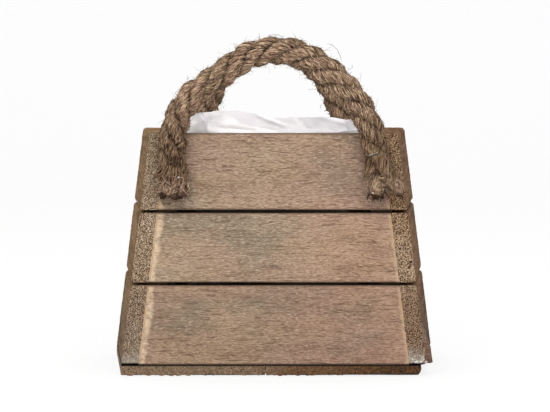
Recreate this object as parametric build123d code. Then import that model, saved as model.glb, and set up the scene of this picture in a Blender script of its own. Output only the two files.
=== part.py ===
from build123d import *
import os
from math import pi, radians, sqrt, tan

# A small slatted wooden basket with rope handles. Millimetres, +Z up, front towards -Y.
# The origin is on the surface it stands on, under the middle of the base.

# Body: a box whose sides lean in towards the rim and spread towards the back
front_base_width = 183.2
back_base_width = 201.4
front_rim_width = 148.4
depth = 110.0
base_thickness = 6.5
slat_thickness = 10.0
bottom_slat_height = 48.1
middle_slat_height = 41.7
top_slat_height = 45.8
slat_gap = 1.85
side_slat_round = 2.5
side_slat_ease = 1.0
cross_slat_ease = 0.6

# Base boards: the right one stops short of the side it carries
base_left_width = 86.5
base_joint_gap = 0.4
base_right_setback = 2.2

# Corner posts
post_size = 12.0
post_top_drop = 5.0

# Film liner: a pouch across the corner posts, its rim rising towards the back
liner_wall = 1.0
liner_clearance = 0.3
liner_corner = 2 * post_size
liner_front_rise = 2.5
liner_back_rise = 9.0

# Rope handles: each is stapled below the rim and bends on a line just above it
rope_diameter = 16.0
rope_clearance = 0.3
rope_hinge_gap = 0.3
arc_share = 0.45

# Rope staples
rope_staple_width = 6.0
rope_staple_wire = 1.1
rope_staple_leg = 22.0
rope_staple_sink = 1.0

# Liner staples
liner_staple_width = 9.0
liner_staple_wire = 0.7
liner_staple_leg = 7.0
liner_staple_drop = 11.0

# Nails
nail_shank = 1.0
nail_head = 1.6
nail_head_height = 0.5
nail_length = 18.0
nail_sink = 0.4
base_nail_sink = 0.4
cross_nail_inset = 5.3
cross_nail_edge = 7.6
side_nail_edge = 11.5

# One overrun serves all cuts
overrun = 1.0

# Each rope's centreline, chosen by hand: sideways from the middle, in from the line that lies
# against the slat, and up from the rim. The ends are the two cut ends of the rope.
front_rope_route = [
    (-59.6, 0.0, -39.7),
    (-59.0, 0.0, -21.5),
    (-59.4, 0.0, -7.0),
    (-57.6, 0.1, 5.0),
    (-52.9, 0.4, 15.4),
    (-45.0, 0.8, 24.4),
    (-31.5, 1.5, 35.0),
    (-14.0, 2.3, 48.0),
    (4.0, 2.6, 50.7),
    (20.0, 2.4, 46.3),
    (34.0, 1.7, 36.4),
    (46.0, 1.0, 24.2),
    (54.4, 0.5, 11.6),
    (59.3, 0.1, -2.9),
    (63.0, 0.0, -19.9),
    (66.8, 0.0, -37.9),
]
back_rope_route = [
    (-46.4, 0.0, -38.0),
    (-45.4, 0.0, -20.0),
    (-44.6, 0.0, -3.5),
    (-42.2, 0.2, 9.0),
    (-36.8, 0.6, 21.5),
    (-31.0, 1.0, 32.0),
    (-22.0, 1.5, 41.5),
    (-8.0, 2.0, 48.0),
    (9.5, 2.1, 48.2),
    (23.5, 1.6, 41.8),
    (32.9, 1.1, 31.6),
    (38.9, 0.7, 21.0),
    (43.2, 0.3, 8.5),
    (45.0, 0.0, -3.5),
    (45.6, 0.0, -20.0),
    (47.0, 0.0, -38.0),
]

# Staple places at a rope's two legs: sideways from the rope's middle as a share of its diameter,
# down from the rim as a share of the leg's own length below it, and the crown's tilt in degrees
front_staple_places = {"left": [(0.02, 0.41, 9), (0.11, 0.64, -7)], "right": [(-0.14, 0.31, 17), (-0.30, 0.93, -10)]}
back_staple_places = {"left": [(0.05, 0.36, 6), (-0.10, 0.75, -8)], "right": [(0.08, 0.43, -5), (-0.06, 0.80, 10)]}

# Places along an edge, as shares of half its length
base_nail_shares = (-0.72, -0.28, 0.28, 0.72)
liner_staple_shares = (-0.55, 0.55)
along_share = 0.9

# Worked out from the sizes above
tier_names = ("bottom", "middle", "top")
tier_heights = (bottom_slat_height, middle_slat_height, top_slat_height)
rim = base_thickness + sum(tier_heights) + slat_gap * (len(tier_heights) - 1)
front = -depth / 2
back = depth / 2
side_lean = (front_base_width - front_rim_width) / 2 / (rim - base_thickness)
side_spread = (back_base_width - front_base_width) / 2 / depth
side_slope = sqrt(1 + side_lean**2 + side_spread**2)
rope_radius = rope_diameter / 2
rope_line = depth / 2 + rope_clearance + rope_radius
hinge_height = rim + rope_radius
X = Vector(1, 0, 0)
Y = Vector(0, 1, 0)

os.makedirs("parts", exist_ok=True)


def save(name, shape):
    export_step(shape, f"parts/{name}.step")


def tiers():
    """Name, lower and upper level of each row of slats, from the base up."""
    low = base_thickness
    for name, height in zip(tier_names, tier_heights):
        yield name, low, low + height
        low += height + slat_gap


def side_x(y, z, inset):
    """How far out a side's face lies at a depth and height, moved in square to the face by inset."""
    width_there = front_base_width / 2 + side_spread * (y - front)
    return width_there - side_lean * (z - base_thickness) - inset * side_slope


def side_normal(hand):
    """The outward direction of the left side, hand -1, or the right side, hand 1."""
    return Vector(hand, -side_spread, side_lean).normalized()


def solid_between(lower, upper):
    """A solid with flat faces between two rings of as many corners."""
    rings = [Wire.make_polygon([Vector(*corner) for corner in ring], close=True) for ring in (lower, upper)]
    faces = [Face(ring) for ring in rings]
    for i in range(len(lower)):
        j = (i + 1) % len(lower)
        corners = [Vector(*corner) for corner in (lower[i], lower[j], upper[j], upper[i])]
        faces.append(Face(Wire.make_polygon(corners, close=True)))
    return Solid(Shell(faces))


def side_ring(hand, y0, y1, z, outer, inner):
    """Four corners at one height of a stick that follows a side, between two insets."""
    return [
        (hand * side_x(y0, z, outer), y0, z),
        (hand * side_x(y1, z, outer), y1, z),
        (hand * side_x(y1, z, inner), y1, z),
        (hand * side_x(y0, z, inner), y0, z),
    ]


def cross_ring(y0, y1, z, inset):
    """Four corners at one height of a board that runs from side to side."""
    return [
        (-side_x(y0, z, inset), y0, z),
        (side_x(y0, z, inset), y0, z),
        (side_x(y1, z, inset), y1, z),
        (-side_x(y1, z, inset), y1, z),
    ]


def outer_long_edges(board, outward, along):
    """The edges of a board's outer face that run along it."""
    face = board.faces().sort_by(lambda f: f.normal_at().dot(outward))[-1]
    return face.edges().filter_by(lambda edge: abs(edge.tangent_at(0.5).dot(along)) > along_share)


def make_slats():
    """Three rows of four boards. The side boards cover the ends of the front and back ones."""
    for tier, low, high in tiers():
        for side, y0, y1, outward in (
            ("front", front, front + slat_thickness, -Y),
            ("back", back - slat_thickness, back, Y),
        ):
            slat = solid_between(
                cross_ring(y0, y1, low, slat_thickness), cross_ring(y0, y1, high, slat_thickness)
            )
            slat = slat.fillet(cross_slat_ease, outer_long_edges(slat, outward, X))
            save(f"{side}_slat_{tier}", slat)
        for side, hand in (("left", -1), ("right", 1)):
            slat = solid_between(
                side_ring(hand, front, back, low, 0, slat_thickness),
                side_ring(hand, front, back, high, 0, slat_thickness),
            )
            lower, upper = outer_long_edges(slat, side_normal(hand), Y).sort_by(Axis.Z)
            slat = slat.fillet(side_slat_ease, [lower])
            upper = outer_long_edges(slat, side_normal(hand), Y).sort_by(Axis.Z)[-1]
            slat = slat.fillet(side_slat_round, [upper])
            save(f"{side}_slat_{tier}", slat)


def make_base():
    """Two thin boards side by side under the slats, their grain from front to back."""
    joint = base_left_width - front_base_width / 2
    board_ends = {
        "left": (lambda y: -side_x(y, base_thickness, 0), lambda y: joint),
        "right": (
            lambda y: joint + base_joint_gap,
            lambda y: side_x(y, base_thickness, 0) - base_right_setback,
        ),
    }
    for name, (left_edge, right_edge) in board_ends.items():
        corners = [
            (left_edge(front), front),
            (right_edge(front), front),
            (right_edge(back), back),
            (left_edge(back), back),
        ]
        board = solid_between(
            [(x, y, 0) for x, y in corners], [(x, y, base_thickness) for x, y in corners]
        )
        save(f"base_board_{name}", board)


def make_posts():
    """A square stick in each inner corner, which the three rows of slats are nailed to."""
    post_ends = {
        "front": (front + slat_thickness, front + slat_thickness + post_size),
        "back": (back - slat_thickness - post_size, back - slat_thickness),
    }
    for end, (y0, y1) in post_ends.items():
        for side, hand in (("left", -1), ("right", 1)):
            rings = [
                side_ring(hand, y0, y1, z, slat_thickness, slat_thickness + post_size)
                for z in (base_thickness, rim - post_top_drop)
            ]
            save(f"corner_post_{end}_{side}", solid_between(*rings))


def liner_ring(inset, corner, z):
    """Eight corners of the liner's outline at one height: a box with its corners cut off."""
    y = depth / 2 - slat_thickness - inset
    right = [
        (side_x(-y, z, slat_thickness + inset) - corner, -y, z),
        (side_x(corner - y, z, slat_thickness + inset), corner - y, z),
        (side_x(y - corner, z, slat_thickness + inset), y - corner, z),
        (side_x(y, z, slat_thickness + inset) - corner, y, z),
    ]
    return right + [(-x, y_there, z_there) for x, y_there, z_there in reversed(right)]


def make_liner():
    """The film as one open pouch that stands on the base, cut on the slope of its rim."""
    floor = base_thickness + liner_clearance
    above = rim + max(liner_front_rise, liner_back_rise) + liner_back_rise + overrun
    inner_corner = liner_corner - (2 - sqrt(2)) * liner_wall
    inner_inset = liner_clearance + liner_wall
    outside = solid_between(
        liner_ring(liner_clearance, liner_corner, floor), liner_ring(liner_clearance, liner_corner, above)
    )
    inside = solid_between(
        liner_ring(inner_inset, inner_corner, floor + liner_wall),
        liner_ring(inner_inset, inner_corner, above + overrun),
    )
    half_depth = depth / 2 - slat_thickness - liner_clearance
    rim_plane = Plane(
        origin=(0, -half_depth, rim + liner_front_rise),
        x_dir=X,
        z_dir=(0, liner_front_rise - liner_back_rise, 2 * half_depth),
    )
    pouch = split(outside - inside, bisect_by=rim_plane, keep=Keep.BOTTOM)
    save("plastic_liner", pouch)


def rope_points(route, facing):
    """A rope's route in the part's frame: facing is -1 for the front rope and 1 for the back one."""
    return [Vector(x, facing * (rope_line - inward), rim + up) for x, inward, up in route]


def rope_arcs(name, points):
    """The radius of the arc at each corner of a route, as large as its two runs allow."""
    radii = []
    for before, corner, after in zip(points, points[1:], points[2:]):
        turn = (corner - before).get_angle(after - corner)
        shorter = min((corner - before).length, (after - corner).length)
        radii.append(arc_share * shorter / tan(radians(turn / 2)))
    print(name, "arc radii", [round(radius, 1) for radius in radii])
    return radii


def rope_leg_x(points, z):
    """Where a rope lies sideways at a height, at its left leg and at its right leg."""
    crossings = [
        a.X + (b.X - a.X) * (z - a.Z) / (b.Z - a.Z)
        for a, b in zip(points, points[1:])
        if min(a.Z, b.Z) <= z <= max(a.Z, b.Z) and a.Z != b.Z
    ]
    return {"left": min(crossings), "right": max(crossings)}


def make_rope(side, route, facing):
    """One rope in three pieces: two stapled legs, and the arch that swings on the hinge line."""
    points = rope_points(route, facing)
    path = FilletPolyline(*points, radius=rope_arcs(f"{side} rope", points))
    tube = sweep(Plane(origin=path @ 0, z_dir=path % 0) * Circle(rope_radius), path=path)
    print(f"{side} rope length", round(path.length, 1))
    print(f"{side} rope volume over section times length", tube.volume / (pi * rope_radius**2 * path.length))
    arch = split(tube, bisect_by=Plane.XY.offset(hinge_height), keep=Keep.TOP)
    knuckle = split(Sphere(rope_radius), bisect_by=Plane.XY, keep=Keep.BOTTOM)
    for leg_x in rope_leg_x(points, hinge_height).values():
        arch += Pos(leg_x, facing * rope_line, hinge_height) * knuckle
    save(f"{side}_rope_arch", arch)
    leg_top = hinge_height - rope_radius - rope_hinge_gap
    legs = split(tube, bisect_by=Plane.XY.offset(leg_top), keep=Keep.BOTTOM).solids()
    legs = legs.sort_by(Axis.X)
    save(f"{side}_rope_left_end", legs[0])
    save(f"{side}_rope_right_end", legs[-1])


def staple(width, wire, leg):
    """A staple with its crown along X at the origin and its legs down -Z."""
    half = width / 2
    line = FilletPolyline((-half, 0, -leg), (-half, 0, 0), (half, 0, 0), (half, 0, -leg), radius=wire)
    return sweep(Plane(origin=line @ 0, z_dir=line % 0) * Circle(wire / 2), path=line)


def make_rope_staples(side, route, facing, places):
    """Narrow staples driven through a rope's two legs into the top slat."""
    points = rope_points(route, facing)
    crown_y = facing * (rope_line + rope_radius - rope_staple_sink)
    one = staple(rope_staple_width, rope_staple_wire, rope_staple_leg)
    leg_ends = {"left": points[0], "right": points[-1]}
    placed = []
    for leg, leg_places in places.items():
        for sideways_share, drop_share, tilt in leg_places:
            z = rim - drop_share * (rim - leg_ends[leg].Z)
            x = rope_leg_x(points, z)[leg] + sideways_share * rope_diameter
            crown = Plane(origin=(x, crown_y, z), x_dir=X, z_dir=(0, facing, 0))
            placed.append(crown * Rot(0, 0, tilt) * one)
    save(f"{side}_rope_staples", Compound(children=placed))


def make_liner_staples():
    """Small staples that pin the film to the inside of the top slats."""
    one = staple(liner_staple_width, liner_staple_wire, liner_staple_leg)
    z = rim - liner_staple_drop
    inset = slat_thickness + liner_clearance + liner_wall
    crown_y = depth / 2 - inset
    placed = []
    for facing in (-1, 1):
        for share in liner_staple_shares:
            x = share * (side_x(facing * crown_y, z, inset) - liner_corner)
            placed.append(Plane(origin=(x, facing * crown_y, z), x_dir=X, z_dir=(0, -facing, 0)) * one)
    for hand in (-1, 1):
        origin = (hand * side_x(0, z, inset), 0, z)
        along = Vector(hand * side_spread, 1, 0).normalized()
        placed.append(Plane(origin=origin, x_dir=along, z_dir=-side_normal(hand)) * one)
    save("liner_staples", Compound(children=placed))


def nail():
    """A nail with its head's top at the origin and its shank down -Z."""
    head = Pos(0, 0, -nail_head_height / 2) * Cylinder(nail_head / 2, nail_head_height)
    shank = Pos(0, 0, -nail_length / 2) * Cylinder(nail_shank / 2, nail_length)
    return head + shank


def make_nails():
    """Two nails at each end of each slat, into the posts, and a row up through the base."""
    one = nail()
    for side, facing in (("front", -1), ("back", 1)):
        y = facing * depth / 2
        placed = []
        for _, low, high in tiers():
            for z in (low + cross_nail_edge, high - cross_nail_edge):
                for hand in (-1, 1):
                    x = hand * (side_x(y, z, slat_thickness) - cross_nail_inset)
                    origin = (x, y - facing * nail_sink, z)
                    placed.append(Plane(origin=origin, x_dir=X, z_dir=(0, facing, 0)) * one)
        save(f"{side}_nails", Compound(children=placed))
    post_middle = depth / 2 - slat_thickness - post_size / 2
    for side, hand in (("left", -1), ("right", 1)):
        placed = []
        for _, low, high in tiers():
            for z in (low + side_nail_edge, high - side_nail_edge):
                for y in (-post_middle, post_middle):
                    origin = (hand * side_x(y, z, nail_sink), y, z)
                    placed.append(Plane(origin=origin, z_dir=side_normal(hand)) * one)
        save(f"{side}_nails", Compound(children=placed))
    slat_middle = depth / 2 - slat_thickness / 2
    placed = []
    for y in (-slat_middle, slat_middle):
        for share in base_nail_shares:
            x = share * side_x(y, base_thickness, 0)
            placed.append(Plane(origin=(x, y, base_nail_sink), z_dir=(0, 0, -1)) * one)
    for hand in (-1, 1):
        x = hand * side_x(0, base_thickness, slat_thickness / 2)
        placed.append(Plane(origin=(x, 0, base_nail_sink), z_dir=(0, 0, -1)) * one)
    save("base_nails", Compound(children=placed))


make_slats()
make_base()
make_posts()
make_liner()
make_rope("front", front_rope_route, -1)
make_rope("back", back_rope_route, 1)
make_rope_staples("front", front_rope_route, -1, front_staple_places)
make_rope_staples("back", back_rope_route, 1, back_staple_places)
make_liner_staples()
make_nails()
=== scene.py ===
import math
import random

import bpy
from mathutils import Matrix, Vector, noise


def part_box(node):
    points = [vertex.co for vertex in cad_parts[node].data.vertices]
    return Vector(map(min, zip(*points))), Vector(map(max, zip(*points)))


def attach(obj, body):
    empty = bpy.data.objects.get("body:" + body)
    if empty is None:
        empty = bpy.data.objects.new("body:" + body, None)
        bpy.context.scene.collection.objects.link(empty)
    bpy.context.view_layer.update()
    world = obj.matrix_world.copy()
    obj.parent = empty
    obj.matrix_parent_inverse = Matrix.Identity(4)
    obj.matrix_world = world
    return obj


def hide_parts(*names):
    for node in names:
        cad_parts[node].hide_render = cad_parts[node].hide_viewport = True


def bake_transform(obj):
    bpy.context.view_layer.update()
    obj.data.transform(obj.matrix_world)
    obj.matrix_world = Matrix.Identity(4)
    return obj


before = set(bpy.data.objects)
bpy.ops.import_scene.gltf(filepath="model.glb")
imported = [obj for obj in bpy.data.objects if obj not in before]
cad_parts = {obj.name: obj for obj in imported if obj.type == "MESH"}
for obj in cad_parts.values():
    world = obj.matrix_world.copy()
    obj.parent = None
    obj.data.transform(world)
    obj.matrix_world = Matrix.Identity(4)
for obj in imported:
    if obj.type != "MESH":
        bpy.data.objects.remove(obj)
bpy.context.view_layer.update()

# Base
# Two thin rough-sawn boards side by side, their grain from front to back. The front ends are torn
# by the saw and stained dark at the right. Nails go up through them into the bottom slats.

base_cut_spacing = (0.0013, 0.0045, 0.0011)
board_wave_size = 0.03
base_wave_depth = 0.0009
saw_tear_size = 0.0013
saw_tear_depth = 0.0011
joint_wave_size = 0.012
joint_wave_depth = 0.0030
lower_tear = 0.0016
lower_tear_band = 0.0025
lower_wear = 0.0022
splinter_scale = 380
chip_scale = 120
base_front_half = 0.0916
base_top = 0.0065
end_wear = 0.0029
end_wear_scale = 260
corner_wear_length = 0.035
corner_rounding = 2.2
end_band = 0.0004
merge_distance = 0.00002
flat_angle = math.radians(1)
shading_angle = math.radians(40)
nail_hole_radius = 0.00095
nail_hole_depth = 0.0003
nail_hole_sides = 14
nail_hole_reach = 0.002
end_grain_slope = 0.6
LONG_WAYS, UPWARDS = (1, 0, 2), (2, 0, 1)
SIDEWAYS = (0, 1, 2)


def held(value):
    """A value kept between 0 and 1."""
    return min(1.0, max(0.0, value))


def select_only(obj):
    bpy.ops.object.select_all(action="DESELECT")
    obj.select_set(True)
    bpy.context.view_layer.objects.active = obj


def edit_all(obj, *steps):
    """Operators of edit mode, each with its settings, on the whole of a mesh."""
    select_only(obj)
    bpy.ops.object.mode_set(mode="EDIT")
    for operator, settings in steps:
        bpy.ops.mesh.select_all(action="SELECT")
        operator(**settings)
    bpy.ops.object.mode_set(mode="OBJECT")


def apply_modifier(obj, kind, **settings):
    select_only(obj)
    bpy.ops.object.modifier_add(type=kind)
    modifier = obj.modifiers[-1]
    for name, value in settings.items():
        setattr(modifier, name, value)
    bpy.ops.object.modifier_apply(modifier=modifier.name)


def carry(obj, name, values, kind="FLOAT", domain="POINT"):
    """Numbers that a mesh carries for its finish to read, for each place or each face."""
    field = "vector" if kind == "FLOAT_VECTOR" else "value"
    obj.data.attributes.new(name, kind, domain).data.foreach_set(field, values)


def span(obj, axis):
    """The lowest and the highest number along an axis among a mesh's corners."""
    numbers = [vertex.co[axis] for vertex in obj.data.vertices]
    return min(numbers), max(numbers)


def copy_of_node(node, name):
    """A merged copy of a board's CAD mesh, with flat faces in place of loose triangles."""
    obj = bpy.data.objects.new(name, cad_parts[node].data.copy())
    bpy.context.collection.objects.link(obj)
    merge = (bpy.ops.mesh.remove_doubles, {"threshold": merge_distance})
    flatten = (bpy.ops.mesh.dissolve_limited, {"angle_limit": flat_angle})
    edit_all(obj, merge, flatten)
    obj.data.materials.clear()
    return obj


def cut_across(obj, spacings):
    """Evenly spaced cuts square to each axis, which leave a board in small faces."""
    for axis, spacing in enumerate(spacings):
        low, high = span(obj, axis)
        count = max(1, round((high - low) / spacing))
        square = Vector((0, 0, 0))
        square[axis] = 1
        places = [square * (low + (high - low) * i / count) for i in range(1, count)]
        edit_all(obj, *[(bpy.ops.mesh.bisect, {"plane_co": place, "plane_no": square}) for place in places])


def roughen(obj, size, depth, group=""):
    """Uneven faces, as a saw or a plane leaves them, to a depth and at a scale in metres."""
    texture = bpy.data.textures.new(f"{obj.name}_{size}", "CLOUDS")
    texture.noise_scale = size
    texture.noise_depth = 2
    apply_modifier(
        obj, "DISPLACE", texture=texture, texture_coords="LOCAL", strength=depth, mid_level=0.5,
        vertex_group=group,
    )


def group_ends(board, name, axis, ends=(0, 1)):
    """A vertex group of a board's faces at its low and high ends along an axis, or at one of them."""
    levels = [span(board, axis)[end] for end in ends]
    gaps = [min(abs(vertex.co[axis] - level) for level in levels) for vertex in board.data.vertices]
    found = [i for i, gap in enumerate(gaps) if gap < end_band]
    group = board.vertex_groups.new(name=name)
    group.add(found, 1.0, "REPLACE")
    return group.name


def tear_lower_edge(board):
    """Splinters lost from the lower edge of a base board's two ends, and its right front corner worn."""
    depth = span(board, 1)[1]
    for vertex in board.data.vertices:
        place = vertex.co
        if place.z < lower_tear and abs(place.y) > depth - lower_tear_band:
            splinters = 1.3 * noise.noise(place * splinter_scale) + 0.5 * noise.noise(place * chip_scale)
            torn = lower_tear * max(0.0, 0.35 + splinters)
            worn = lower_wear * held(place.x / base_front_half) ** 2 if place.y < 0 else 0.0
            place.z = max(place.z, min(torn + worn, 2 * lower_tear))
        place.z = max(place.z, 0.0)
        corner = held(1.6 - (place.y + depth) / corner_wear_length) if place.x > 0 else 0.0
        if corner:
            rounded = corner_rounding * (place.z / base_top - 0.6) ** 2
            worn = end_wear * corner * (0.9 + 0.7 * noise.noise(place * end_wear_scale) + rounded)
            place.x = min(place.x, base_front_half - worn)


def loose_boxes(node):
    """The lowest and highest corner of each separate solid in a CAD node, such as each nail."""
    copy_of_node(node, "loose")
    bpy.ops.mesh.separate(type="LOOSE")
    boxes = []
    for piece in bpy.context.selected_objects:
        low, high = zip(*[span(piece, axis) for axis in range(3)])
        boxes.append([Vector(low), Vector(high)])
        bpy.data.meshes.remove(piece.data)
    return sorted(boxes, key=lambda box: tuple(round(value, 4) for value in box[0]))


def cut_nail_holes(board, node, nails, outward):
    """A shallow hole in a board's face over each of the nails that go into it."""
    low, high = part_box(node)
    holes = []
    for first, last in nails:
        middle = (first + last) / 2
        near = nail_hole_reach
        if all(low[axis] - near < middle[axis] < high[axis] + near for axis in range(3)):
            reach = max(abs((last - first).dot(outward)), 0.001) / 2
            bpy.ops.object.select_all(action="DESELECT")
            bpy.ops.mesh.primitive_cylinder_add(
                vertices=nail_hole_sides, radius=nail_hole_radius, depth=2 * nail_hole_depth,
                location=middle + outward * reach, rotation=outward.to_track_quat("Z", "Y").to_euler(),
            )
            holes.append(bpy.context.active_object)
    for hole in holes:
        apply_modifier(board, "BOOLEAN", object=hole, operation="DIFFERENCE")
        bpy.data.meshes.remove(hole.data)


def mark_grain(board, order, offset, coarseness=1.0):
    """What the wood finish reads: the place along and across the grain, and which faces are end grain."""
    places = [vertex.co[axis] / coarseness + offset for vertex in board.data.vertices for axis in order]
    carry(board, "grain_place", places, "FLOAT_VECTOR")
    cut = [float(abs(face.normal[order[0]]) > end_grain_slope) for face in board.data.polygons]
    carry(board, "end_grain", cut, domain="FACE")


def finish_board(board, node, material):
    """Flat shading between sharp corners, and a board that stands in for its CAD solid."""
    select_only(board)
    bpy.ops.object.shade_smooth_by_angle(angle=shading_angle)
    board.data.materials.append(material)
    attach(board, "root")
    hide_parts(node)


def linear(red, green, blue):
    """A colour as seen on a screen, from 0 to 255, in the linear form that a node's sockets take."""
    shares = [value / 255 for value in (red, green, blue)]
    return (*[s / 12.92 if s <= 0.04045 else ((s + 0.055) / 1.055) ** 2.4 for s in shares], 1)


def set_inputs(tree, node, inputs):
    """A node's inputs, each set to a value or linked to another node's output."""
    for key, value in dict(inputs).items():
        if isinstance(value, bpy.types.NodeSocket):
            tree.links.new(value, node.inputs[key])
        else:
            node.inputs[key].default_value = value


def add_node(tree, kind, inputs=(), **settings):
    """A node of a kind, with its settings and its inputs."""
    node = tree.nodes.new(kind)
    for name, value in settings.items():
        setattr(node, name, value)
    set_inputs(tree, node, inputs)
    return node


def mixed(tree, share, first, second, blend="MIX"):
    """The colour a share of the way from the first to the second."""
    sockets = {0: share, 6: first, 7: second}
    return add_node(tree, "ShaderNodeMix", sockets, data_type="RGBA", blend_type=blend).outputs[2]


def worked(tree, operation, *values):
    """The result of a sum, product or other operation on numbers."""
    return add_node(tree, "ShaderNodeMath", dict(enumerate(values)), operation=operation).outputs[0]


def product(tree, value, *others):
    for other in others:
        value = worked(tree, "MULTIPLY", value, other)
    return value


def vectors(tree, operation, *values):
    """The result of an operation on places, which is a place or, for a length, a number."""
    node = add_node(tree, "ShaderNodeVectorMath", dict(enumerate(values)), operation=operation)
    return node.outputs["Value" if operation == "LENGTH" else "Vector"]


def between(tree, value, low, high, at_low=0.0, at_high=1.0):
    """A value's smooth way from one level to another as it rises from low to high."""
    sockets = {"Value": value, "From Min": low, "From Max": high, "To Min": at_low, "To Max": at_high}
    return add_node(tree, "ShaderNodeMapRange", sockets, interpolation_type="SMOOTHSTEP").outputs[0]


def layered(tree, color, *layers):
    """A colour under layers: a value, its low and high, the share reached there, a tone and a blend."""
    for value, low, high, share, tone, *blend in layers:
        tone = linear(*tone) if isinstance(tone, tuple) else tone
        color = mixed(tree, between(tree, value, low, high, 0.0, share), color, tone, *blend)
    return color


def cloudy(tree, place, scales, detail=2.0, roughness=0.55, shift=0.0):
    """Soft noise from 0 to 1, with so many features a metre along each axis."""
    scales = scales if isinstance(scales, tuple) else (scales, scales, scales)
    mapping = {"Vector": place, "Location": (shift, shift, shift), "Scale": scales}
    stretched = add_node(tree, "ShaderNodeMapping", mapping).outputs[0]
    sockets = {"Vector": stretched, "Scale": 1.0, "Detail": detail, "Roughness": roughness}
    return add_node(tree, "ShaderNodeTexNoise", sockets).outputs[0]


def wobble(tree, place, scale, detail, reach):
    """How far smooth noise moves each place, to either side by up to half the reach."""
    sockets = {"Vector": place, "Scale": scale, "Detail": detail}
    tangled = add_node(tree, "ShaderNodeTexNoise", sockets).outputs[1]
    return vectors(tree, "MULTIPLY", vectors(tree, "SUBTRACT", tangled, (0.5, 0.5, 0.5)), reach)


def new_group(name, outputs):
    """An empty node group that reads a place, with the place's socket and the node of its outputs."""
    group = bpy.data.node_groups.new(name, "ShaderNodeTree")
    group.interface.new_socket("Place", in_out="INPUT", socket_type="NodeSocketVector")
    for socket, kind in outputs.items():
        group.interface.new_socket(socket, in_out="OUTPUT", socket_type=f"NodeSocket{kind}")
    return group, group.nodes.new("NodeGroupInput").outputs["Place"], group.nodes.new("NodeGroupOutput")


def face_grain_group():
    """Planed wood along its grain: soft bands, fine fibres, short dark vessels and patches of tint."""
    kinds = {"Color": "Color", "Height": "Float", "Roughness": "Float"}
    group, place, made = new_group("face_grain", kinds)
    curly = between(group, cloudy(group, place, (14, 20, 20), shift=8.8), 0.45, 0.62, 0.0002, 0.0014)
    bent = vectors(group, "ADD", place, wobble(group, place, 17.0, 2.0, (0, 0.010, 0.010)))
    bent = vectors(group, "ADD", bent, wobble(group, place, 95.0, 1.0, curly))
    tints = cloudy(group, place, (16, 34, 34), 3.0)
    greys = cloudy(group, place, (11, 22, 22), 3.0, shift=4.7)
    bands = cloudy(group, bent, (34, 900, 900), 3.0, 0.7)
    fibres = cloudy(group, bent, (380, 1900, 1900), 2.0, 0.7, shift=1.3)
    vessels = cloudy(group, bent, (68, 1500, 1500), 1.0, 0.5, shift=2.9)
    blotches = cloudy(group, bent, (26, 95, 95), 3.0, 0.6, shift=6.1)
    color = layered(
        group, linear(176, 148, 120),
        (tints, 0.36, 0.64, 1.0, (172, 142, 122)),
        (greys, 0.5, 0.66, 1.0, (148, 131, 110)),
        (greys, 0.5, 0.25, 0.6, (184, 150, 116)),
        (blotches, 0.50, 0.68, 0.5, (134, 106, 82)),
        (blotches, 0.46, 0.30, 0.4, (196, 168, 140)),
        (bands, 0.48, 0.68, 0.28, (122, 96, 74)),
        (bands, 0.46, 0.28, 0.24, (206, 182, 154)),
        (fibres, 0.5, 0.68, 0.62, (214, 192, 168)),
        (fibres, 0.48, 0.32, 0.62, (112, 86, 66)),
        (vessels, 0.58, 0.70, 0.55, (92, 68, 50)),
    )
    height = worked(group, "MULTIPLY_ADD", fibres, 0.7, product(group, bands, 0.5))
    height = worked(group, "SUBTRACT", height, between(group, vessels, 0.60, 0.72, 0.0, 0.9))
    roughness = between(group, fibres, 0.3, 0.7, 0.86, 0.7)
    set_inputs(group, made, {"Color": color, "Height": height, "Roughness": roughness})
    return group


def end_grain_group():
    """Wood sawn across its grain: open dark pores among pale specks, browner in places."""
    group, place, made = new_group("end_grain", {"Color": "Color", "Height": "Float"})
    specks = cloudy(group, place, (1500, 1800, 1800), 2.0, 0.75)
    pores = cloudy(group, place, (1350, 1600, 1600), 2.0, 0.7, shift=3.1)
    clumps = cloudy(group, place, (260, 420, 420), 3.0, 0.7, shift=5.3)
    tints = cloudy(group, place, (30, 60, 60), shift=1.7)
    color = layered(
        group, linear(168, 146, 126),
        (tints, 0.35, 0.65, 1.0, (146, 120, 94)),
        (clumps, 0.5, 0.3, 0.45, (196, 174, 148)),
        (specks, 0.49, 0.58, 0.95, (238, 218, 192)),
        (clumps, 0.52, 0.70, 0.55, (100, 76, 58)),
        (pores, 0.50, 0.58, 0.95, (52, 34, 22)),
    )
    height = worked(group, "SUBTRACT", specks, between(group, pores, 0.5, 0.66, 0.0, 1.2))
    set_inputs(group, made, {"Color": color, "Height": worked(group, "MULTIPLY_ADD", clumps, -1.2, height)})
    return group


face_grain = face_grain_group()
end_grain = end_grain_group()
# Near-black painted shade for the seam where the bottom boards sit on the base
painted_seam_shade = (8, 4, 2)


def attribute(tree, name, output="Fac"):
    """A value that a mesh carries, such as how far a place is from a board's end."""
    return add_node(tree, "ShaderNodeAttribute", attribute_name=name).outputs[output]


def object_place(tree):
    return add_node(tree, "ShaderNodeTexCoord").outputs["Object"]


def numbers_of(tree, place):
    """How far a place is to the right, to the back and up."""
    return add_node(tree, "ShaderNodeSeparateXYZ", {0: place}).outputs


def bumped(tree, height, strength, distance):
    """The normals of a finish whose relief follows a height."""
    sockets = {"Strength": strength, "Distance": distance, "Height": height}
    return add_node(tree, "ShaderNodeBump", sockets).outputs[0]


def new_material(name):
    """A new material, its node tree and its surface shader."""
    material = bpy.data.materials.new(name)
    material.use_nodes = True
    return material, material.node_tree, material.node_tree.nodes["Principled BSDF"]


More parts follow.
